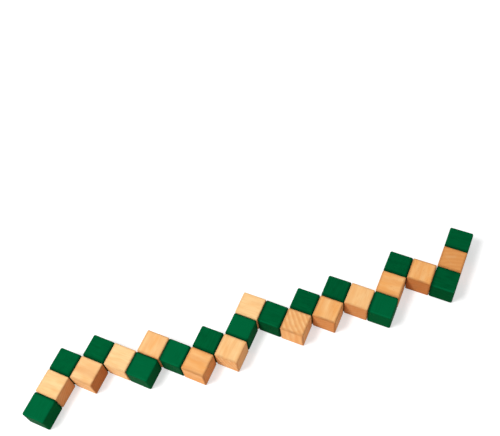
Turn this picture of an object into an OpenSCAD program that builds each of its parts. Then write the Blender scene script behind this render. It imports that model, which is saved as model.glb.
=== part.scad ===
// Snake cube puzzle: 27 drilled wooden cubelets strung on one thin elastic cord.
// It lies flat, unrolled into a staircase, and folds up into a 3 x 3 x 3 cube.
// Every other cubelet is painted green, and the rest are natural wood.
// The bores are much wider than the elastic, which lies round the inside of each corner.
// Frame: X to the right, Y up the page, Z up from the table.
// Origin: on the table, under the middle of the unrolled chain's outline.

/* [Chain] */
// Step from each cubelet to the next: U is up the page, R is to the right
steps = "UURURRURRURUURRURURRUURRUU"; // [UURURRURRURUURRURURRUURRUU]

/* [Cubelets] */
// Width of a cubelet, face to face
cubelet_w = 19.8; // [16:0.1:30]
// Gap between the faces of two neighbouring cubelets
face_gap = 0.2; // [0.1:0.05:0.6]
// Radius that the edges of the bare cubelets are sanded to
edge_r = 1.0; // [0.3:0.1:2]
// Radius of the painted cubelets' edges, which the paint rounds further
paint_edge_r = 1.5; // [0.3:0.1:2.5]
// Diameter of the bores that the elastic runs through
bore_d = 8.0; // [5:0.1:9]

/* [Elastic] */
// Diameter of the elastic cord
elastic_d = 1.0; // [0.6:0.05:1.6]
// Room between the elastic and the edge that it bends round
elastic_room = 0.5; // [0.3:0.05:0.8]

/* [Ends] */
// Room round the elastic where it leaves an end cubelet
hole_room = 0.3; // [0.1:0.05:0.5]
// How far the knot is wider than that hole, on each side
knot_lip = 1.0; // [0.6:0.1:1.5]
// Length of the knot, along the elastic
knot_l = 3.2; // [2:0.1:5]
// Room round the knot in its pocket
knot_room = 0.3; // [0.1:0.05:0.5]
// Thickness of the wooden plug that closes the pocket
plug_t = 2.0; // [1:0.1:3]
// Film of glue round the plug
glue_t = 0.05; // [0.03:0.01:0.1]

/* [Colours] */
// Paint on the odd cubelets
paint_colour = "#08663A"; // [#08663A, #8A1B1B, #173F8A]
// Bare wood of the even cubelets
wood_colour = "#EFC48E"; // [#EFC48E, #D9A066]
// Elastic cord
elastic_colour = "#E8E2D2"; // [#E8E2D2, #1E1E1E]

/* [Hidden] */
$fn = 48;
past = 1; // how far a cutter runs past the face that it cuts
cord_sides = 8;
bend_steps = 4;
count = len(steps) + 1;
pitch = cubelet_w + face_gap;
bend_r = elastic_d / 2 + elastic_room; // to the elastic's middle line, from that edge
hole_d = elastic_d + 2 * hole_room;
knot_d = hole_d + 2 * knot_lip;
knot_edge_r = knot_lip / 2;
pocket_d = knot_d + 2 * knot_room;
pocket_depth = plug_t + knot_room + knot_l;
seat = cubelet_w / 2 - pocket_depth; // the knot's seat, from the middle of an end cubelet
plug_d = pocket_d - 2 * glue_t;

function step_way(k) = steps[k - 1] == "R" ? [1, 0] : [0, 1];
function walk(k) = k == 1 ? [0, 0] : walk(k - 1) + pitch * step_way(k - 1);
walked = [for (k = [1:count]) walk(k)];
walked_x = [for (p = walked) p.x];
walked_y = [for (p = walked) p.y];
outline_middle = [min(walked_x) + max(walked_x), min(walked_y) + max(walked_y)] / 2;
function flat_place(k) = walked[k - 1] - outline_middle;

function is_end(k) = k == 1 || k == count;
function is_straight(k) = !is_end(k) && step_way(k - 1) == step_way(k);
function kind(k) = is_end(k) ? "end" : is_straight(k) ? "straight" : "corner";
// Way out of an end cubelet, to its only neighbour
function way_out(k) = k == 1 ? step_way(1) : -step_way(count - 1);

function number(k) = str(k < 10 ? "0" : "", k);
function cubelet_name(k) = str("cubelet_", number(k), "_", kind(k));
function elastic_name(k) = str("elastic_", number(k));
cubelet_names = [for (k = [1:count]) cubelet_name(k)];
elastic_names = [for (k = [1:count]) elastic_name(k)];
end_names = ["knot_first", "knot_last", "plug_first", "plug_last"];

// Puts its children at the middle of a cubelet
module at_cubelet(k) {
    translate([flat_place(k).x, flat_place(k).y, cubelet_w / 2]) children();
}

// Turns its children's Z to a way along the table
module along(way) {
    rotate([0, 0, atan2(way.y, way.x)]) rotate([0, 90, 0]) children();
}

// Prism across the cubelet with its four long edges rounded
module rounded_prism(r) {
    inner = cubelet_w - 2 * r;
    linear_extrude(cubelet_w, center = true) {
        square([cubelet_w, inner], center = true);
        square([inner, cubelet_w], center = true);
        for (x = [-1, 1], y = [-1, 1]) translate([x, y] * inner / 2) circle(r);
    }
}

// A block sanded on all twelve edges
module block(r) {
    intersection() {
        rounded_prism(r);
        rotate([90, 0, 0]) rounded_prism(r);
        rotate([0, 90, 0]) rounded_prism(r);
    }
}

// A bore drilled in from one face until it clears the cross bore
module bore_from(way) {
    along(way) translate([0, 0, -bore_d / 2]) cylinder(d = bore_d, h = (bore_d + cubelet_w) / 2 + past);
}

module straight_bore(k) {
    along(step_way(k)) cylinder(d = bore_d, h = cubelet_w + 2 * past, center = true);
}

module corner_bore(k) {
    bore_from(-step_way(k - 1));
    bore_from(step_way(k));
}

// Pocket for the knot and its plug, and the narrow hole from its floor to the neighbour
module end_bore(k) {
    along(-way_out(k)) {
        translate([0, 0, seat]) cylinder(d = pocket_d, h = pocket_depth + past);
        translate([0, 0, -cubelet_w / 2 - past]) cylinder(d = hole_d, h = cubelet_w / 2 + seat + 2 * past);
    }
}

module cubelet(k) {
    painted = k % 2 == 1;
    color(painted ? paint_colour : wood_colour)
    at_cubelet(k) difference() {
        block(painted ? paint_edge_r : edge_r);
        if (is_end(k)) end_bore(k);
        else if (is_straight(k)) straight_bore(k);
        else corner_bore(k);
    }
}

// The elastic crosses each joint on the middle line of the bores
function exit_point(k) = pitch / 2 * step_way(k);
function entry_point(k) = -pitch / 2 * step_way(k - 1);
function entry_run(k) = [entry_point(k), entry_point(k) + elastic_d * step_way(k - 1)];
function exit_run(k) = [exit_point(k) - elastic_d * step_way(k), exit_point(k)];

// Points round the edge where the bores of a corner cubelet meet
function bend_run(k) =
    let (came = step_way(k - 1), goes = step_way(k), edge = bore_d / 2 * (goes - came))
    [for (i = [0:bend_steps]) let (a = 90 * i / bend_steps)
        edge + bend_r * (sin(a) * came - cos(a) * goes)];

function elastic_route(k) =
    k == 1 ? concat([-seat * way_out(k)], exit_run(k)) :
    k == count ? concat(entry_run(k), [-seat * way_out(k)]) :
    is_straight(k) ? concat(entry_run(k), exit_run(k)) :
    concat(entry_run(k), bend_run(k), exit_run(k));

function unit(v) = v / norm(v);
function heading(route, i) =
    let (last = len(route) - 1, back = route[max(i, 1)] - route[max(i, 1) - 1],
         ahead = route[min(i + 1, last)] - route[min(i, last - 1)])
    unit(unit(back) + unit(ahead));
function cord_ring(p, way) =
    [for (j = [0:cord_sides - 1]) let (a = 360 * j / cord_sides, reach = elastic_d / 2 * cos(a))
        [p.x - reach * way.y, p.y + reach * way.x, elastic_d / 2 * sin(a)]];

// A tube along a route that lies level
module cord_along(route) {
    last = len(route) - 1;
    rings = [for (i = [0:last]) each cord_ring(route[i], heading(route, i))];
    walls = [for (i = [0:last - 1], j = [0:cord_sides - 1])
        let (a = i * cord_sides + j, b = i * cord_sides + (j + 1) % cord_sides)
        each [[a, b, b + cord_sides], [a, b + cord_sides, a + cord_sides]]];
    first_cap = [for (j = [1:cord_sides - 2]) [0, j + 1, j]];
    last_cap = [for (j = [1:cord_sides - 2]) [0, j, j + 1] + last * cord_sides * [1, 1, 1]];
    polyhedron(rings, concat(walls, first_cap, last_cap));
}

// The stretch of the elastic that one cubelet holds
module elastic(k) {
    color(elastic_colour) at_cubelet(k) cord_along(elastic_route(k));
}

// Knot, drawn against the floor of its pocket
module knot(k) {
    flat_r = knot_d / 2 - knot_edge_r;
    color(elastic_colour)
    at_cubelet(k) along(-way_out(k)) translate([0, 0, seat]) rotate_extrude() {
        translate([0, knot_edge_r]) square([knot_d / 2, knot_l - 2 * knot_edge_r]);
        square([flat_r, knot_l]);
        for (y = [knot_edge_r, knot_l - knot_edge_r]) translate([flat_r, y]) circle(knot_edge_r);
    }
}

// Plug, glued in flush with the outer face
module plug(k) {
    color(paint_colour)
    at_cubelet(k) along(-way_out(k)) translate([0, 0, cubelet_w / 2 - plug_t])
        cylinder(d = plug_d, h = plug_t);
}

for (k = [1:count]) cubelet(k);
for (k = [1:count]) elastic(k);
knot(1);  // knot_first
knot(count);  // knot_last
plug(1);  // plug_first
plug(count);  // plug_last
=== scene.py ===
# Snake cube puzzle: 27 drilled wooden cubelets on one elastic cord, alternately
# enamelled green and left as bare pine. It lies unrolled on a pale table.
# Lengths are in metres, or in mm where a name or comment says so, in the frame of the
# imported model: X to the right, Y up the page and Z up from the table.
import math

import bpy
from mathutils import Matrix
from mathutils import Vector


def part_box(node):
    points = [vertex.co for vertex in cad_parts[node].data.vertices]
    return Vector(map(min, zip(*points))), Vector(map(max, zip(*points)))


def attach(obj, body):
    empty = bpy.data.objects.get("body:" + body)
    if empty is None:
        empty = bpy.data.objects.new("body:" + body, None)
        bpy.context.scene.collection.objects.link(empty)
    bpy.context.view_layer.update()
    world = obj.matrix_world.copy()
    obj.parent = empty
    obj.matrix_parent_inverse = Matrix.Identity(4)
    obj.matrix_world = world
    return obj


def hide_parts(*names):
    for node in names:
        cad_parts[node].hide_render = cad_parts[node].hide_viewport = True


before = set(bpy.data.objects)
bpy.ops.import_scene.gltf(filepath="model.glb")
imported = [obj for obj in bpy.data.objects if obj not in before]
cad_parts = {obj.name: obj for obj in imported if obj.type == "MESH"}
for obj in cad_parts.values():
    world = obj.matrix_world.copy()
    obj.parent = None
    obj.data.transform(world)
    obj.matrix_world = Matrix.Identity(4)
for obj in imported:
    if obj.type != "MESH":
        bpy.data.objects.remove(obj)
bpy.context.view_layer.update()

# The photograph's view. The camera stands to the right of the chain and in front of
# it, looks down at about 57 degrees, and is turned a little, so that the chain's
# rows run downhill to the right in the picture.
CAMERA_AT = Vector((0.1412, -0.2107, 0.5666))
CAMERA_AIM = Vector((-0.0480, 0.0932, 0.0099))
CAMERA_TURN = math.radians(-9.7)
LENS_MM = 53.0
SENSOR_MM = 36.0

bpy.ops.object.camera_add(location=CAMERA_AT)
camera = bpy.context.object
camera.name = "photo_camera"
look = (CAMERA_AIM - CAMERA_AT).to_track_quat("-Z", "Y").to_matrix()
camera.rotation_euler = (look @ Matrix.Rotation(CAMERA_TURN, 3, "Z")).to_euler()
camera.data.lens = LENS_MM
camera.data.sensor_width = SENSOR_MM
bpy.context.scene.camera = camera
bpy.context.scene.view_settings.view_transform = "Standard"

# The table: matt white board, wide enough to fill every view. Seen straight on it is as
# white as the photograph's background, and it keeps the chain's soft shadow. Further
# out, where the lamp's light fades, its own glow makes up for it.
MM = 0.001
TABLE_W = 6.0
TABLE_UNDER = 0.1 * MM
TABLE_SEEN = "#FFFFFF"
TABLE_GLOW = 0.55
TABLE_LIT = "#CCCCCC"
TABLE_BOUNCE = "#F5BC94"
PALE_FROM = 0.35
PALE_TO = 1.1
HEX_STARTS = (1, 3, 5)
HEX_FULL = 255
SRGB_KNEE = 0.04045
SRGB_SLOPE = 12.92
SRGB_LIFT = 0.055
SRGB_POWER = 2.4

# The numbers of a mix node's sockets. Its inputs for plain values and for colours have
# the same names, so only the numbers tell them apart.
MIX_SHARE = 0
VALUE_A = 2
VALUE_B = 3
COLOUR_A = 6
COLOUR_B = 7
COLOUR_MIXED = 2


def linear(code):
    """Turns an sRGB hex colour to the linear values that the shaders take."""
    values = []
    for start in HEX_STARTS:
        part = int(code[start:start + 2], 16) / HEX_FULL
        if part <= SRGB_KNEE:
            values.append(part / SRGB_SLOPE)
        else:
            values.append(((part + SRGB_LIFT) / (1 + SRGB_LIFT)) ** SRGB_POWER)
    return values + [1.0]


def add_node(tree, kind, inputs=None, **settings):
    """Adds one node, sets it, and fills or links its inputs."""
    node = tree.nodes.new(kind)
    for name, value in settings.items():
        setattr(node, name, value)
    for name, value in (inputs or {}).items():
        if isinstance(value, bpy.types.NodeSocket):
            tree.links.new(value, node.inputs[name])
        else:
            node.inputs[name].default_value = value
    return node


def blank_material(name):
    """A new material with an empty node tree."""
    material = bpy.data.materials.new(name)
    material.use_nodes = True
    material.node_tree.nodes.clear()
    return material, material.node_tree


def in_plain_sight(tree):
    """Is 1 for what the camera sees, also in a reflection or through glass, else 0."""
    path = add_node(tree, "ShaderNodeLightPath").outputs
    seen = add_node(tree, "ShaderNodeMath", {0: path["Is Camera Ray"], 1: path["Is Glossy Ray"]},
                    operation="MAXIMUM")
    seen = add_node(tree, "ShaderNodeMath", {0: seen.outputs[0], 1: path["Is Transmission Ray"]},
                    operation="MAXIMUM")
    return seen.outputs[0]


bpy.ops.object.select_all(action="DESELECT")
bpy.ops.mesh.primitive_plane_add(size=TABLE_W, location=(0, 0, -TABLE_UNDER))
table = bpy.context.object
table.name = "table_top"
white_board, tree = blank_material("white_board")
shown = in_plain_sight(tree)
lit = add_node(tree, "ShaderNodeBsdfDiffuse", {"Color": linear(TABLE_LIT)})
place = add_node(tree, "ShaderNodeTexCoord").outputs["Object"]
away = add_node(tree, "ShaderNodeVectorMath", {0: place}, operation="LENGTH").outputs["Value"]
paling = add_node(tree, "ShaderNodeMapRange", {
    "Value": away, "From Min": PALE_FROM, "From Max": PALE_TO, "To Min": TABLE_GLOW, "To Max": 1.0})
glow = add_node(tree, "ShaderNodeEmission", {"Color": linear(TABLE_SEEN), "Strength": paling.outputs[0]})
seen = add_node(tree, "ShaderNodeAddShader", {0: lit.outputs[0], 1: glow.outputs[0]})
bounce = add_node(tree, "ShaderNodeBsdfDiffuse", {"Color": linear(TABLE_BOUNCE)})
both = add_node(tree, "ShaderNodeMixShader", {0: shown, 1: bounce.outputs[0], 2: seen.outputs[0]})
add_node(tree, "ShaderNodeOutputMaterial", {"Surface": both.outputs[0]})
table.data.materials.append(white_board)

# The studio: one large soft lamp in front of the chain and to its left, and an even
# white room. The lamp is near enough to light the left end more than the right one.
LAMP_AT = Vector((-0.50, -0.50, 1.30))
LAMP_AIM = Vector((0.0, 0.0, 0.0))
LAMP_W = 0.45
LAMP_POWER = 17.7
ROOM_FILL = 0.39
ROOM_WHITE = 1.0
ROOM_OVERHEAD = 0.3
ROOM_WHITE_BELOW = 0.45
ROOM_DIM_ABOVE = 0.75

bpy.ops.object.light_add(type="AREA", location=LAMP_AT)
lamp = bpy.context.object
lamp.name = "soft_lamp"
lamp.rotation_euler = (LAMP_AIM - LAMP_AT).to_track_quat("-Z", "Y").to_euler()
lamp.data.size = LAMP_W
lamp.data.energy = LAMP_POWER

room = bpy.data.worlds.new("white_room")
room.use_nodes = True
bpy.context.scene.world = room
tree = room.node_tree
tree.nodes.clear()
shown = in_plain_sight(tree)
way = add_node(tree, "ShaderNodeTexCoord")
height = add_node(tree, "ShaderNodeSeparateXYZ", {0: way.outputs["Generated"]})
backdrop = add_node(tree, "ShaderNodeMapRange", {
    "Value": height.outputs["Z"], "From Min": ROOM_WHITE_BELOW, "From Max": ROOM_DIM_ABOVE,
    "To Min": ROOM_WHITE, "To Max": ROOM_OVERHEAD})
strength = add_node(tree, "ShaderNodeMix", {
    MIX_SHARE: shown, VALUE_A: ROOM_FILL, VALUE_B: backdrop.outputs[0]}, data_type="FLOAT")
light = add_node(tree, "ShaderNodeBackground", {
    "Color": linear(TABLE_SEEN), "Strength": strength.outputs[0]})
add_node(tree, "ShaderNodeOutputWorld", {"Surface": light.outputs[0]})

# The bare cubelets: thirteen blocks of pine, sawn from square stick, drilled from one
# or two faces for the cord, and sanded so that every edge is round and every face shows
# its grain. Each comes from another stick, so rings, fibres and tone differ.
CUBELET_W = 19.8 * MM
HALF_W = CUBELET_W / 2
BORE_D = 8.0 * MM
BARE_EDGE_R = 1.0 * MM
EDGE_STEPS = 5
RIM_CHAMFER = 0.3 * MM
RIM_STEPS = 2
DRILL_SIDES = 48
DRILL_PAST = 1.0 * MM
TOUCHING = 0.01 * MM
SMOOTH_UP_TO = math.radians(35)
BACK = Vector((0, -1, 0))
AHEAD = Vector((0, 1, 0))
RIGHT = Vector((1, 0, 0))


def sawn_block(edge_r):
    """A square block at the origin, sanded round on all its edges."""
    bpy.ops.object.select_all(action="DESELECT")
    bpy.ops.mesh.primitive_cube_add(size=CUBELET_W)
    bpy.ops.object.mode_set(mode="EDIT")
    bpy.ops.mesh.select_mode(type="EDGE")
    bpy.ops.mesh.select_all(action="SELECT")
    bpy.ops.mesh.bevel(offset=edge_r, segments=EDGE_STEPS, affect="EDGES")
    bpy.ops.object.mode_set(mode="OBJECT")
    return bpy.context.object


def work_on(piece):
    """Selects one piece alone and makes it the one that the tools act on."""
    bpy.ops.object.select_all(action="DESELECT")
    piece.select_set(True)
    bpy.context.view_layer.objects.active = piece


def drill(block, way, start, stop, diameter):
    """Drills a block along a way, between two distances from its middle."""
    bpy.ops.object.select_all(action="DESELECT")
    turn = way.to_track_quat("Z", "Y").to_euler()
    bpy.ops.mesh.primitive_cylinder_add(
        vertices=DRILL_SIDES, radius=diameter / 2, depth=stop - start,
        location=way * (start + stop) / 2, rotation=turn)
    bit = bpy.context.object
    work_on(block)
    cut = block.modifiers.new("drill", "BOOLEAN")
    cut.object = bit
    cut.operation = "DIFFERENCE"
    cut.solver = "EXACT"
    bpy.ops.object.modifier_apply(modifier=cut.name)
    bpy.data.objects.remove(bit, do_unlink=True)
    bpy.ops.object.mode_set(mode="EDIT")
    bpy.ops.mesh.select_all(action="SELECT")
    bpy.ops.mesh.remove_doubles(threshold=TOUCHING)
    bpy.ops.mesh.dissolve_degenerate(threshold=TOUCHING)
    bpy.ops.object.mode_set(mode="OBJECT")


def chamfer_edges(piece, wanted, chamfer):
    """Takes the sharp edge off, where both end points of an edge answer to wanted."""
    mesh = piece.data
    for part in (mesh.polygons, mesh.edges, mesh.vertices):
        part.foreach_set("select", [False] * len(part))
    for edge in mesh.edges:
        if all(wanted(mesh.vertices[v].co) for v in edge.vertices):
            edge.select = True
    bpy.ops.object.mode_set(mode="EDIT")
    bpy.ops.mesh.bevel(offset=chamfer, segments=RIM_STEPS, affect="EDGES")
    bpy.ops.object.mode_set(mode="OBJECT")


def break_rim(block, way, diameter, chamfer=RIM_CHAMFER):
    """Takes the sharp rim off a hole where it opens in the face that a way points at."""
    def on_rim(point):
        off_axis = (point - way * point.dot(way)).length
        at_face = point.dot(way) > HALF_W - TOUCHING
        return at_face and abs(off_axis - diameter / 2) < TOUCHING
    chamfer_edges(block, on_rim, chamfer)


def finish_shading(piece):
    """Smooth on the round edges and flat on the faces, as a sanded block looks."""
    work_on(piece)
    bpy.ops.object.shade_smooth_by_angle(angle=SMOOTH_UP_TO)
    weigh = piece.modifiers.new("flat_faces", "WEIGHTED_NORMAL")
    weigh.keep_sharp = True
    bpy.ops.object.modifier_apply(modifier=weigh.name)


def straight_block(edge_r):
    """A block with one bore right through, front to back."""
    block = sawn_block(edge_r)
    drill(block, AHEAD, -HALF_W - DRILL_PAST, HALF_W + DRILL_PAST, BORE_D)
    break_rim(block, AHEAD, BORE_D)
    break_rim(block, BACK, BORE_D)
    return block


def corner_block(edge_r):
    """A block with bores from its front and its right face that meet in the middle."""
    block = sawn_block(edge_r)
    for way in (BACK, RIGHT):
        drill(block, way, -BORE_D / 2, HALF_W + DRILL_PAST, BORE_D)
    for way in (BACK, RIGHT):
        break_rim(block, way, BORE_D)
    return block


# Where each cubelet lies: the middles of the model's own cubelets, in the order of the
# chain. Each turns by up to 0.4 degrees on its cord, so that no row is ruler-straight.
ASKEW = math.radians(0.4)
ASKEW_STEP = 2.4


def middle_of(node):
    """The middle of a CAD node at rest."""
    low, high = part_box(node)
    return (low + high) / 2


cubelet_nodes = sorted(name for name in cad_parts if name.startswith("cubelet_"))
cubelet_middle = [middle_of(name) for name in cubelet_nodes]
LAST = len(cubelet_nodes)


def cubelet_kind(number):
    """The last word of a cubelet's name: end, straight or corner."""
    return cubelet_nodes[number - 1].split("_")[-1]


def step_from(number):
    """The way from a cubelet to the next one in the chain."""
    return (cubelet_middle[number] - cubelet_middle[number - 1]).normalized()


def same_way(way, other):
    """Whether two ways along the chain are the same and don't stand square."""
    return round(way.dot(other)) == 1


def quarter_turns(number):
    """How far a master block turns about Z so that its bores face its neighbours."""
    enters_ahead = same_way(step_from(max(number - 1, 1)), AHEAD)
    if number == LAST:
        return 2
    if cubelet_kind(number) == "straight":
        return 0 if enters_ahead else 1
    return 0 if enters_ahead else 2


# How the wood of a cubelet is described to its material: where each point lies in the
# tree that the block was sawn from, and the tones that this one block has. Blocks lie
# far apart along the grain, so that no two show the same fibres.
GRAIN_SHIFT_MM = 37.0
FEW_FLECKS = 0.2
HALF_BROWNED = 0.5


def write_attribute(mesh, name, kind, domain, values):
    """Keeps a value for each point or face of a mesh, for its material to read."""
    attribute = mesh.attributes.new(name, kind, domain)
    field = "vector" if kind == "FLOAT_VECTOR" else "value"
    attribute.data.foreach_set(field, values)


def mark_wood(mesh, middle, number, grain, pith, amber, figure, end,
              flecks=FEW_FLECKS, browned=HALF_BROWNED):
    """Writes, in mm, where each point lies in its block and its tree, and its wood's tones."""
    along = "xyz".index(grain)
    across = [i for i in range(3) if i != along]
    block_at = []
    grain_at = []
    for vertex in mesh.vertices:
        place = (vertex.co - middle) / MM
        block_at.extend(place)
        grain_at.append(place[along] + number * GRAIN_SHIFT_MM)
        grain_at.append(place[across[0]] - pith[0])
        grain_at.append(place[across[1]] - pith[1])
    write_attribute(mesh, "block_at", "FLOAT_VECTOR", "POINT", block_at)
    write_attribute(mesh, "grain_at", "FLOAT_VECTOR", "POINT", grain_at)
    facing = [face.normal[along] ** 2 for face in mesh.polygons]
    rings_show = [figure[0] + (figure[1] - figure[0]) * share for share in facing]
    write_attribute(mesh, "end_grain", "FLOAT", "FACE", [end * share for share in facing])
    write_attribute(mesh, "figure", "FLOAT", "FACE", rings_show)
    for name, tone in (("amber", amber), ("flecks", flecks), ("browned", browned)):
        write_attribute(mesh, name, "FLOAT", "FACE", [tone] * len(facing))


def place_cubelet(master, number, wood):
    """Copies a master block to its place in the chain, marks its wood and rides it."""
    node = cubelet_nodes[number - 1]
    middle = cubelet_middle[number - 1]
    piece = master.copy()
    piece.data = master.data.copy()
    piece.name = node + "_block"
    bpy.context.scene.collection.objects.link(piece)
    turn = quarter_turns(number) * math.pi / 2 + ASKEW * math.sin(ASKEW_STEP * number)
    piece.data.transform(Matrix.Translation(middle) @ Matrix.Rotation(turn, 4, "Z"))
    mark_wood(piece.data, middle, number, **wood)
    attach(piece, f"cubelet_{number:02d}")
    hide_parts(node)
    return piece


# Sawn and sanded pine. Rings show as pale bands that darken slowly and end sharply,
# fibres as fine streaks, and end grain and edges are darker. Real fibres
# are finer than 0.45 mm, and are drawn that wide so that they show. Scales are per mm.
ACROSS_GRAIN = (0, 1, 1)
RING_GAP_MM = 3.6
RING_DARKENS = (0.1, 0.65)
RING_ENDS = (0.8, 1.0)
RING_WOBBLE_MM = 0.9
RING_WOBBLE_SCALE = Vector((1 / 45, 1 / 9, 1 / 9))
RING_WOBBLE_DETAIL = 2.0
FIBRE_SCALE = Vector((1 / 9, 1 / 0.45, 1 / 0.45))
FIBRE_DETAIL = 3.0
FIBRE_SHOWS = (0.4, 0.7)
FIBRE_SHARE = 0.2
CLOUD_SCALE = Vector((1 / 16, 1 / 5, 1 / 5))
CLOUD_DETAIL = 2.0
CLOUD_SHOWS = (0.3, 0.7)
CLOUD_AMBER = 0.3
FLECK_SCALE = Vector((1 / 2.2, 1 / 0.35, 1 / 0.35))
FLECK_DETAIL = 1.0
FLECK_SHOWS = (0.69, 0.76)
BROWN_REACH = 2.2 * MM
BROWN_FADES = (0.35, 0.65)
BROWN_LEAST = 0.55
EDGE_FULL_MM = 9.5
END_SHARE = 0.8
PINE_PALE = "#F8D59B"
PINE_AMBER = "#F0B066"
PINE_LATE = "#D98E4C"
PINE_END = "#BC7139"
PINE_EDGE = "#A9652F"
PINE_ROUGH = 0.62
PINE_END_ROUGH = 0.78
PINE_IOR = 1.5
PINE_GLOSS = 0.15
PINE_FUZZ = 0.4
PINE_RELIEF = 0.02 * MM


def stretched_noise(tree, at, scale, detail):
    """Noise whose grains are 1 / scale long, along the wood and twice across it."""
    sized = add_node(tree, "ShaderNodeVectorMath", {0: at, 1: scale}, operation="MULTIPLY")
    noise = add_node(tree, "ShaderNodeTexNoise", {
        "Vector": sized.outputs[0], "Scale": 1.0, "Detail": detail})
    return noise.outputs["Fac"]


def edge_shade(tree, at, reach):
    """Rises from 0 on a cubelet's faces to 1 on its edges, starting a reach before them."""
    size = add_node(tree, "ShaderNodeVectorMath", {0: at}, operation="ABSOLUTE")
    parts = add_node(tree, "ShaderNodeSeparateXYZ", {0: size.outputs[0]})
    x, y, z = parts.outputs
    low = add_node(tree, "ShaderNodeMath", {0: x, 1: y}, operation="MINIMUM").outputs[0]
    high = add_node(tree, "ShaderNodeMath", {0: x, 1: y}, operation="MAXIMUM").outputs[0]
    inner = add_node(tree, "ShaderNodeMath", {0: high, 1: z}, operation="MINIMUM").outputs[0]
    second = add_node(tree, "ShaderNodeMath", {0: low, 1: inner}, operation="MAXIMUM").outputs[0]
    return add_node(tree, "ShaderNodeMapRange", {
        "Value": second, "From Min": (HALF_W - reach) / MM, "From Max": EDGE_FULL_MM},
        interpolation_type="SMOOTHSTEP").outputs[0]


sanded_pine, tree = blank_material("sanded_pine")
grain_at = add_node(tree, "ShaderNodeAttribute", attribute_name="grain_at").outputs["Vector"]
block_at = add_node(tree, "ShaderNodeAttribute", attribute_name="block_at").outputs["Vector"]
end_grain = add_node(tree, "ShaderNodeAttribute", attribute_name="end_grain").outputs["Fac"]
amber = add_node(tree, "ShaderNodeAttribute", attribute_name="amber").outputs["Fac"]
figure = add_node(tree, "ShaderNodeAttribute", attribute_name="figure").outputs["Fac"]
fleck_share = add_node(tree, "ShaderNodeAttribute", attribute_name="flecks").outputs["Fac"]
browned = add_node(tree, "ShaderNodeAttribute", attribute_name="browned").outputs["Fac"]

wobble = stretched_noise(tree, grain_at, RING_WOBBLE_SCALE, RING_WOBBLE_DETAIL)
fibre = stretched_noise(tree, grain_at, FIBRE_SCALE, FIBRE_DETAIL)
cloud = stretched_noise(tree, grain_at, CLOUD_SCALE, CLOUD_DETAIL)
fleck = stretched_noise(tree, grain_at, FLECK_SCALE, FLECK_DETAIL)
flat = add_node(tree, "ShaderNodeVectorMath", {0: grain_at, 1: ACROSS_GRAIN}, operation="MULTIPLY")
radius = add_node(tree, "ShaderNodeVectorMath", {0: flat.outputs[0]}, operation="LENGTH").outputs["Value"]
bent = add_node(tree, "ShaderNodeMath", {0: wobble, 1: 2 * RING_WOBBLE_MM, 2: radius},
                operation="MULTIPLY_ADD")
rings = add_node(tree, "ShaderNodeMath", {0: bent.outputs[0], 1: RING_GAP_MM}, operation="DIVIDE")
share = add_node(tree, "ShaderNodeMath", {0: rings.outputs[0]}, operation="FRACT")
darkens = add_node(tree, "ShaderNodeMapRange", {
    "Value": share.outputs[0], "From Min": RING_DARKENS[0], "From Max": RING_DARKENS[1]},
    interpolation_type="SMOOTHSTEP")
ends = add_node(tree, "ShaderNodeMapRange", {
    "Value": share.outputs[0], "From Min": RING_ENDS[0], "From Max": RING_ENDS[1],
    "To Min": 1.0, "To Max": 0.0})
late = add_node(tree, "ShaderNodeMath", {0: darkens.outputs[0], 1: ends.outputs[0]}, operation="MULTIPLY")
late = add_node(tree, "ShaderNodeMath", {0: late.outputs[0], 1: figure}, operation="MULTIPLY")

cloudy = add_node(tree, "ShaderNodeMapRange", {
    "Value": cloud, "From Min": CLOUD_SHOWS[0], "From Max": CLOUD_SHOWS[1],
    "To Min": -CLOUD_AMBER, "To Max": CLOUD_AMBER})
ambered = add_node(tree, "ShaderNodeMath", {0: amber, 1: cloudy.outputs[0]}, operation="ADD", use_clamp=True)
streak = add_node(tree, "ShaderNodeMapRange", {
    "Value": fibre, "From Min": FIBRE_SHOWS[0], "From Max": FIBRE_SHOWS[1],
    "To Min": 0.0, "To Max": FIBRE_SHARE})
flecks = add_node(tree, "ShaderNodeMapRange", {
    "Value": fleck, "From Min": FLECK_SHOWS[0], "From Max": FLECK_SHOWS[1]})
flecks = add_node(tree, "ShaderNodeMath", {0: flecks.outputs[0], 1: fleck_share}, operation="MULTIPLY")
end_share = add_node(tree, "ShaderNodeMath", {0: end_grain, 1: END_SHARE}, operation="MULTIPLY")
edge = edge_shade(tree, block_at, BROWN_REACH)
brown = add_node(tree, "ShaderNodeMapRange", {
    "Value": cloud, "From Min": BROWN_FADES[0], "From Max": BROWN_FADES[1],
    "To Min": 1.0, "To Max": BROWN_LEAST})
brown = add_node(tree, "ShaderNodeMath", {0: brown.outputs[0], 1: browned}, operation="MULTIPLY")
brown = add_node(tree, "ShaderNodeMath", {0: brown.outputs[0], 1: edge}, operation="MULTIPLY")
wood = add_node(tree, "ShaderNodeMix", {
    MIX_SHARE: ambered.outputs[0], COLOUR_A: linear(PINE_PALE), COLOUR_B: linear(PINE_AMBER)},
    data_type="RGBA")
for amount, tone in ((late, PINE_LATE), (streak, PINE_LATE), (flecks, PINE_END),
                     (end_share, PINE_END), (brown, PINE_EDGE)):
    wood = add_node(tree, "ShaderNodeMix", {
        MIX_SHARE: amount.outputs[0], COLOUR_A: wood.outputs[COLOUR_MIXED], COLOUR_B: linear(tone)},
        data_type="RGBA")
rough = add_node(tree, "ShaderNodeMapRange", {
    "Value": end_grain, "To Min": PINE_ROUGH, "To Max": PINE_END_ROUGH})
relief = add_node(tree, "ShaderNodeMath", {0: fibre, 1: late.outputs[0]}, operation="ADD")
bump = add_node(tree, "ShaderNodeBump", {
    "Height": relief.outputs[0], "Strength": 1.0, "Distance": PINE_RELIEF})
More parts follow.
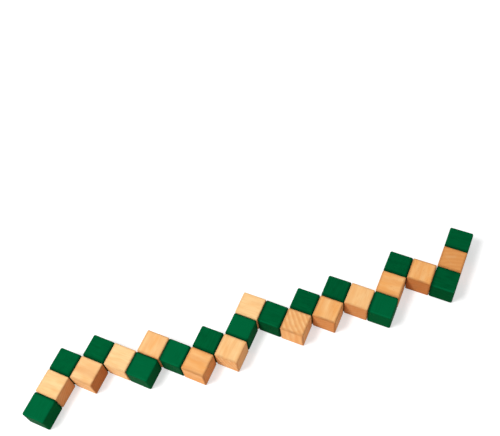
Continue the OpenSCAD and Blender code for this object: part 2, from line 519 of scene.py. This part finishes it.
surface = add_node(tree, "ShaderNodeBsdfPrincipled", {
    "Base Color": wood.outputs[COLOUR_MIXED], "Roughness": rough.outputs[0], "IOR": PINE_IOR,
    "Specular IOR Level": PINE_GLOSS, "Diffuse Roughness": PINE_FUZZ, "Normal": bump.outputs[0]})
add_node(tree, "ShaderNodeOutputMaterial", {"Surface": surface.outputs[0]})

# How each bare cubelet was sawn: the way its grain runs, where the pith of its tree
# lies in mm across the grain, how amber it is, how strongly its rings show on its sides
# and on its ends, how dark its ends are, how much its flecks show and how brown
# its edges are.
BARE_WOOD = {
    2: {"grain": "x", "pith": (30, -52), "amber": 0.15, "figure": (0.1, 0.3), "end": 0.5, "browned": 0.25},
    # Cubelet 4's ends are fully dark: partly its end grain, and partly painted shade on its right side.
    4: {"grain": "x", "pith": (9, -26), "amber": 0.25, "figure": (0.4, 0.5), "end": 1.0, "browned": 0.35},
    6: {"grain": "x", "pith": (-60, -30), "amber": 0.05, "figure": (0.08, 0.3), "end": 0.4, "browned": 0.3},
    8: {"grain": "y", "pith": (24, -50), "amber": 0.5, "figure": (0.15, 0.4), "end": 0.6, "browned": 0.35},
    10: {"grain": "x", "pith": (-18, -34), "amber": 0.75, "figure": (0.25, 0.4), "end": 0.4, "browned": 0.6},
    12: {"grain": "y", "pith": (58, 25), "amber": 0.35, "figure": (0.1, 0.3), "end": 0.1, "browned": 0.4},
    14: {"grain": "x", "pith": (-34, -65), "amber": 0.15, "figure": (0.08, 0.3), "end": 0.5, "browned": 0.2},
    16: {"grain": "z", "pith": (62, 56), "amber": 0.5, "figure": (0.2, 0.5), "end": 0.05, "browned": 0.65},
    18: {"grain": "y", "pith": (26, -52), "amber": 0.75, "figure": (0.15, 0.4), "end": 0.6,
         "flecks": 0.7, "browned": 0.75},
    20: {"grain": "y", "pith": (30, -66), "amber": 0.55, "figure": (0.1, 0.3), "end": 0.7, "browned": 0.3},
    22: {"grain": "x", "pith": (-22, -44), "amber": 0.8, "figure": (0.2, 0.4), "end": 0.3,
         "flecks": 1.0, "browned": 0.6},
    24: {"grain": "y", "pith": (20, -60), "amber": 0.85, "figure": (0.15, 0.4), "end": 1.0,
         "flecks": 1.0, "browned": 0.7},
    26: {"grain": "z", "pith": (14, -46), "amber": 1.0, "figure": (0.4, 0.32), "end": 0.42,
         "flecks": 1.0, "browned": 0.75},
}
bare_masters = {"straight": straight_block(BARE_EDGE_R), "corner": corner_block(BARE_EDGE_R)}
for master in bare_masters.values():
    master.data.materials.append(sanded_pine)
    finish_shading(master)
for number, wood in BARE_WOOD.items():
    place_cubelet(bare_masters[cubelet_kind(number)], number, wood)
for master in bare_masters.values():
    bpy.data.objects.remove(master, do_unlink=True)

# The green cubelets: fourteen blocks of the same pine, drilled and then enamelled, which
# rounds their edges more. The bores stay bare inside. The first and the last have a
# pocket for the cord's knot in their outer face, and the enamel runs into it.
GREEN_EDGE_R = 1.5 * MM
POCKET_D = 4.2 * MM
POCKET_DEPTH = 5.5 * MM
POCKET_RIM = 0.15 * MM
HOLE_D = 1.6 * MM
SEAT = HALF_W - POCKET_DEPTH


def end_block(edge_r):
    """A block with a knot pocket in its front face and a narrow hole to its back face."""
    block = sawn_block(edge_r)
    drill(block, BACK, SEAT, HALF_W + DRILL_PAST, POCKET_D)
    drill(block, BACK, -HALF_W - DRILL_PAST, SEAT + DRILL_PAST, HOLE_D)
    break_rim(block, BACK, POCKET_D, POCKET_RIM)
    return block


# Satin enamel, brushed on along the grain. It is darker where it ran thick and paler in the
# brush's tracks. Its edges are painted paler, as a painted highlight, and the grooves
# between cubelets are painted dark, as painted shade. The tracks are drawn 0.8 mm apart, wider than real, so
# that they show.
ENAMEL = "#00562D"
# Pale green of the brush tracks and of the paler cubelets, also used as the painted highlight on the edges.
ENAMEL_THIN_AND_HIGHLIGHT = "#036A40"
ENAMEL_THICK = "#004825"
# Painted shade: the dark green laid into the grooves between cubelets.
ENAMEL_GROOVE_SHADE = "#002A10"
SAG_SCALE = Vector((1 / 7, 1 / 4, 1 / 4))
SAG_DETAIL = 2.0
SAG_SHOWS = (0.4, 0.7)
SAG_SHARE = 0.5
BRUSH_SCALE = Vector((1 / 12, 1 / 0.8, 1 / 0.8))
BRUSH_DETAIL = 3.0
BRUSH_SHOWS = (0.4, 0.7)
BRUSH_SHARE = 0.3
# How much the edges are painted paler, as a painted highlight.
EDGE_HIGHLIGHT_SHARE = 0.5
# How far in from a joint's edge the painted groove shade reaches, and how strong it is.
GROOVE_REACH = 3.4 * MM
GROOVE_SHARE = 0.75
ENAMEL_ROUGH = 0.45
ENAMEL_ROUGH_SPREAD = 0.08
ENAMEL_IOR = 1.45
ENAMEL_GLOSS = 0.0025
ENAMEL_RELIEF = 0.03 * MM

green_enamel, tree = blank_material("green_enamel")
grain_at = add_node(tree, "ShaderNodeAttribute", attribute_name="grain_at").outputs["Vector"]
block_at = add_node(tree, "ShaderNodeAttribute", attribute_name="block_at").outputs["Vector"]
to_joints = add_node(tree, "ShaderNodeAttribute", attribute_name="to_joints").outputs["Vector"]
green_tone = add_node(tree, "ShaderNodeAttribute", attribute_name="green_tone").outputs["Fac"]
sag = stretched_noise(tree, grain_at, SAG_SCALE, SAG_DETAIL)
brush = stretched_noise(tree, grain_at, BRUSH_SCALE, BRUSH_DETAIL)
pooled = add_node(tree, "ShaderNodeMapRange", {
    "Value": sag, "From Min": SAG_SHOWS[0], "From Max": SAG_SHOWS[1], "To Min": 0.0, "To Max": SAG_SHARE})
thick = add_node(tree, "ShaderNodeMath", {0: pooled.outputs[0], 1: green_tone}, operation="ADD", use_clamp=True)
paler = add_node(tree, "ShaderNodeMath", {0: 0.0, 1: green_tone}, operation="SUBTRACT", use_clamp=True)
tracks = add_node(tree, "ShaderNodeMapRange", {
    "Value": brush, "From Min": BRUSH_SHOWS[0], "From Max": BRUSH_SHOWS[1],
    "To Min": 0.0, "To Max": BRUSH_SHARE})
edge = edge_shade(tree, block_at, GREEN_EDGE_R)
# Painted highlight: the rounded edges are mixed towards pale green.
edge_highlight = add_node(tree, "ShaderNodeMath", {0: edge, 1: EDGE_HIGHLIGHT_SHARE}, operation="MULTIPLY")
# Painted shade: darkens the edges that face a neighbour, in the grooves between cubelets.
joint_ways = add_node(tree, "ShaderNodeSeparateXYZ", {0: to_joints}).outputs
to_joint = add_node(tree, "ShaderNodeMath", {0: joint_ways[0], 1: joint_ways[1]}, operation="MAXIMUM")
groove_shade = add_node(tree, "ShaderNodeMapRange", {
    "Value": to_joint.outputs[0], "From Min": (HALF_W - GROOVE_REACH) / MM, "From Max": EDGE_FULL_MM,
    "To Min": 0.0, "To Max": GROOVE_SHARE}, interpolation_type="SMOOTHSTEP")
rim = edge_shade(tree, block_at, GROOVE_REACH)
groove_shade = add_node(tree, "ShaderNodeMath", {0: groove_shade.outputs[0], 1: rim}, operation="MULTIPLY")
coat = add_node(tree, "ShaderNodeMix", {
    MIX_SHARE: thick.outputs[0], COLOUR_A: linear(ENAMEL), COLOUR_B: linear(ENAMEL_THICK)},
    data_type="RGBA")
for amount, tone in ((paler, ENAMEL_THIN_AND_HIGHLIGHT), (tracks, ENAMEL_THIN_AND_HIGHLIGHT), (edge_highlight, ENAMEL_THIN_AND_HIGHLIGHT),
                     (groove_shade, ENAMEL_GROOVE_SHADE)):
    coat = add_node(tree, "ShaderNodeMix", {
        MIX_SHARE: amount.outputs[0], COLOUR_A: coat.outputs[COLOUR_MIXED], COLOUR_B: linear(tone)},
        data_type="RGBA")
rough = add_node(tree, "ShaderNodeMapRange", {
    "Value": sag, "To Min": ENAMEL_ROUGH - ENAMEL_ROUGH_SPREAD,
    "To Max": ENAMEL_ROUGH + ENAMEL_ROUGH_SPREAD})
bump = add_node(tree, "ShaderNodeBump", {"Height": brush, "Strength": 1.0, "Distance": ENAMEL_RELIEF})
surface = add_node(tree, "ShaderNodeBsdfPrincipled", {
    "Base Color": coat.outputs[COLOUR_MIXED], "Roughness": rough.outputs[0], "IOR": ENAMEL_IOR,
    "Specular IOR Level": ENAMEL_GLOSS, "Normal": bump.outputs[0]})
add_node(tree, "ShaderNodeOutputMaterial", {"Surface": surface.outputs[0]})

# How the green cubelets differ: the wood under the enamel, whose grain the brush
# followed, and those that are paler or darker than most.
GRAIN_WAYS = "xyxzy"
UNDER_ENAMEL = {"pith": (26, -30), "amber": 0.6, "figure": (0.4, 0.6), "end": 0.5}
PALER_GREENS = (1, 7, 9, 13, 21)
DARKER_GREENS = (17, 19, 23, 25)
GREEN_TONE_SHARE = 0.3
BORES = {"end": ([AHEAD], HOLE_D), "straight": ([AHEAD], BORE_D), "corner": ([AHEAD, RIGHT], BORE_D)}


def bare_inside(block, ways, diameter):
    """Leaves the faces inside a block's bores of one diameter to the bare pine."""
    widest = diameter / 2 + RIM_CHAMFER
    for face in block.data.polygons:
        deep = max(abs(part) for part in face.center) < HALF_W - RIM_CHAMFER / 2
        off_axis = min((face.center - way * face.center.dot(way)).length for way in ways)
        face.material_index = 1 if deep and off_axis < widest else 0


def green_wood(number):
    """The wood under the enamel of one cubelet."""
    return {"grain": GRAIN_WAYS[number % len(GRAIN_WAYS)], **UNDER_ENAMEL}


def mark_green_tone(mesh, number):
    """Writes how much darker or paler a cubelet's enamel is than most."""
    green_tone = GREEN_TONE_SHARE * ((number in DARKER_GREENS) - (number in PALER_GREENS))
    write_attribute(mesh, "green_tone", "FLOAT", "FACE", [green_tone] * len(mesh.polygons))


def mark_joints(mesh, number):
    """Writes how many mm each point lies towards the cubelet's one or two neighbours."""
    middle = cubelet_middle[number - 1]
    neighbours = [other for other in (number - 1, number + 1) if 1 <= other <= LAST]
    ways = [(cubelet_middle[other - 1] - middle).normalized() for other in neighbours]
    to_joints = []
    for vertex in mesh.vertices:
        place = (vertex.co - middle) / MM
        to_joints.extend((place.dot(ways[0]), place.dot(ways[-1]), 0.0))
    write_attribute(mesh, "to_joints", "FLOAT_VECTOR", "POINT", to_joints)


green_masters = {
    "end": end_block(GREEN_EDGE_R),
    "straight": straight_block(GREEN_EDGE_R),
    "corner": corner_block(GREEN_EDGE_R),
}
for kind, master in green_masters.items():
    master.data.materials.append(green_enamel)
    master.data.materials.append(sanded_pine)
    bare_inside(master, *BORES[kind])
    finish_shading(master)
for number in range(1, LAST + 1, 2):
    block = place_cubelet(green_masters[cubelet_kind(number)], number, green_wood(number))
    mark_green_tone(block.data, number)
    mark_joints(block.data, number)
for master in green_masters.values():
    bpy.data.objects.remove(master, do_unlink=True)

# The cord: one length of round elastic, 1 mm thick, rubber strands in a knitted white
# cover, pulled through all the bores. It runs straight down a straight bore and bends
# tightly round the inner edge of a corner. It is cut here where the cubelets meet.
CORD_D = 1.0 * MM
CORD_ROUNDING = 3
CORD_EDGE_ROOM = 0.5 * MM
CORD_BEND_R = CORD_D / 2 + CORD_EDGE_ROOM
BEND_STEPS = 10
JOINT_HAIR = 0.02 * MM

# Knitted elastic: matt off-white ribs, with the gaps between them painted darker, as painted
# shade. A rib is drawn 0.45 mm wide, about twice as wide as a real one, so that it shows.
CORD_COVER = "#E9E3D4"
CORD_GAP_SHADE = "#B9B09C"
RIB_W = 0.45 * MM
RIB_DETAIL = 1.0
RIB_SHOWS = (0.35, 0.65)
CORD_ROUGH = 0.85
CORD_RELIEF = 0.05 * MM

knitted_elastic, tree = blank_material("knitted_elastic")
place = add_node(tree, "ShaderNodeTexCoord").outputs["Object"]
ribs = stretched_noise(tree, place, Vector((1 / RIB_W, 1 / RIB_W, 1 / RIB_W)), RIB_DETAIL)
rib = add_node(tree, "ShaderNodeMapRange", {
    "Value": ribs, "From Min": RIB_SHOWS[0], "From Max": RIB_SHOWS[1]})
cover = add_node(tree, "ShaderNodeMix", {
    MIX_SHARE: rib.outputs[0], COLOUR_A: linear(CORD_GAP_SHADE), COLOUR_B: linear(CORD_COVER)},
    data_type="RGBA")
bump = add_node(tree, "ShaderNodeBump", {"Height": rib.outputs[0], "Distance": CORD_RELIEF})
surface = add_node(tree, "ShaderNodeBsdfPrincipled", {
    "Base Color": cover.outputs[COLOUR_MIXED], "Roughness": CORD_ROUGH, "Normal": bump.outputs[0]})
add_node(tree, "ShaderNodeOutputMaterial", {"Surface": surface.outputs[0]})


def cord_along(name, points, thickness):
    """A round cord that follows points, as a closed mesh."""
    line = bpy.data.curves.new(name, "CURVE")
    line.dimensions = "3D"
    line.bevel_depth = thickness / 2
    line.bevel_resolution = CORD_ROUNDING
    line.use_fill_caps = True
    spline = line.splines.new("POLY")
    spline.points.add(len(points) - 1)
    for spot, point in zip(spline.points, points):
        spot.co = (*point, 1.0)
    piece = bpy.data.objects.new(name, line)
    bpy.context.scene.collection.objects.link(piece)
    work_on(piece)
    bpy.ops.object.convert(target="MESH")
    bpy.ops.object.shade_smooth_by_angle(angle=SMOOTH_UP_TO)
    piece.data.materials.append(knitted_elastic)
    return piece


def cord_route(number):
    """The cord's path through one cubelet, a hair short of each joint."""
    middle = cubelet_middle[number - 1]
    if number == 1:
        goes = step_from(1)
        return [middle - goes * SEAT, (middle + cubelet_middle[1]) / 2 - goes * JOINT_HAIR]
    came = step_from(number - 1)
    entry = (middle + cubelet_middle[number - 2]) / 2 + came * JOINT_HAIR
    if number == LAST:
        return [entry, middle + came * SEAT]
    goes = step_from(number)
    leave = (middle + cubelet_middle[number]) / 2 - goes * JOINT_HAIR
    if same_way(came, goes):
        return [entry, leave]
    inner_edge = middle + (goes - came) * BORE_D / 2
    bend = []
    for i in range(BEND_STEPS + 1):
        angle = math.pi / 2 * i / BEND_STEPS
        bend.append(inner_edge + CORD_BEND_R * (math.sin(angle) * came - math.cos(angle) * goes))
    return [entry, entry + came * CORD_D] + bend + [leave - goes * CORD_D, leave]


for number in range(1, LAST + 1):
    stretch = cord_along(f"elastic_{number:02d}_cord", cord_route(number), CORD_D)
    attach(stretch, f"cubelet_{number:02d}")
    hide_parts(f"elastic_{number:02d}")

# The two knots: the cord's ends are tied in an overhand knot and pulled down on the
# floor of the pocket, whose hole is too narrow for them to slip through. The line goes
# twice round the way out, and in and out three times, as an overhand knot does.
KNOT_CORD_D = 0.9 * MM
KNOT_LOOP_R = 0.85 * MM
KNOT_WAVE_R = 0.42 * MM
KNOT_RISE = 0.75 * MM
KNOT_MIDDLE = 1.45 * MM
KNOT_STEPS = 72
KNOT_ROUNDS = 2
KNOT_WAVES = 3


def way_outside(number):
    """The way out of an end cubelet through the face that has no neighbour."""
    return -step_from(1) if number == 1 else step_from(LAST - 1)


def knot_line(seat, out):
    """The line of an overhand knot that sits on its seat and points out of the pocket."""
    side = Vector((out.y, -out.x, 0))
    up = Vector((0, 0, 1))
    points = []
    for i in range(KNOT_STEPS + 1):
        angle = 2 * math.pi * i / KNOT_STEPS
        reach = KNOT_LOOP_R + KNOT_WAVE_R * math.cos(KNOT_WAVES * angle)
        level = KNOT_MIDDLE + KNOT_RISE * math.sin(KNOT_WAVES * angle)
        round_way = side * math.cos(KNOT_ROUNDS * angle) + up * math.sin(KNOT_ROUNDS * angle)
        points.append(seat + round_way * reach + out * level)
    return points


for number, name in ((1, "knot_first"), (LAST, "knot_last")):
    out = way_outside(number)
    seat = cubelet_middle[number - 1] + out * SEAT
    knot = cord_along(name + "_tied", knot_line(seat, out), KNOT_CORD_D)
    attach(knot, f"cubelet_{number:02d}")
    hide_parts(name)

# The two plugs: short lengths of pine dowel, glued in over the knots, sanded flush with
# the outer face and enamelled with it, so that only a fine ring shows.
PLUG_D = 4.1 * MM
PLUG_T = 2.0 * MM
PLUG_CHAMFER = 0.12 * MM

for number, name in ((1, "plug_first"), (LAST, "plug_last")):
    out = way_outside(number)
    middle = cubelet_middle[number - 1]
    bpy.ops.object.select_all(action="DESELECT")
    bpy.ops.mesh.primitive_cylinder_add(
        vertices=DRILL_SIDES, radius=PLUG_D / 2, depth=PLUG_T,
        location=middle + out * (HALF_W - PLUG_T / 2), rotation=out.to_track_quat("Z", "Y").to_euler())
    bpy.ops.object.transform_apply(location=True, rotation=True, scale=True)
    plug = bpy.context.object
    plug.name = name + "_dowel"
    chamfer_edges(plug, lambda point: (point - middle).dot(out) > HALF_W - PLUG_T / 2, PLUG_CHAMFER)
    plug.data.materials.append(green_enamel)
    finish_shading(plug)
    mark_wood(plug.data, middle, number, **green_wood(number))
    mark_green_tone(plug.data, number)
    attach(plug, f"cubelet_{number:02d}")
    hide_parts(name)
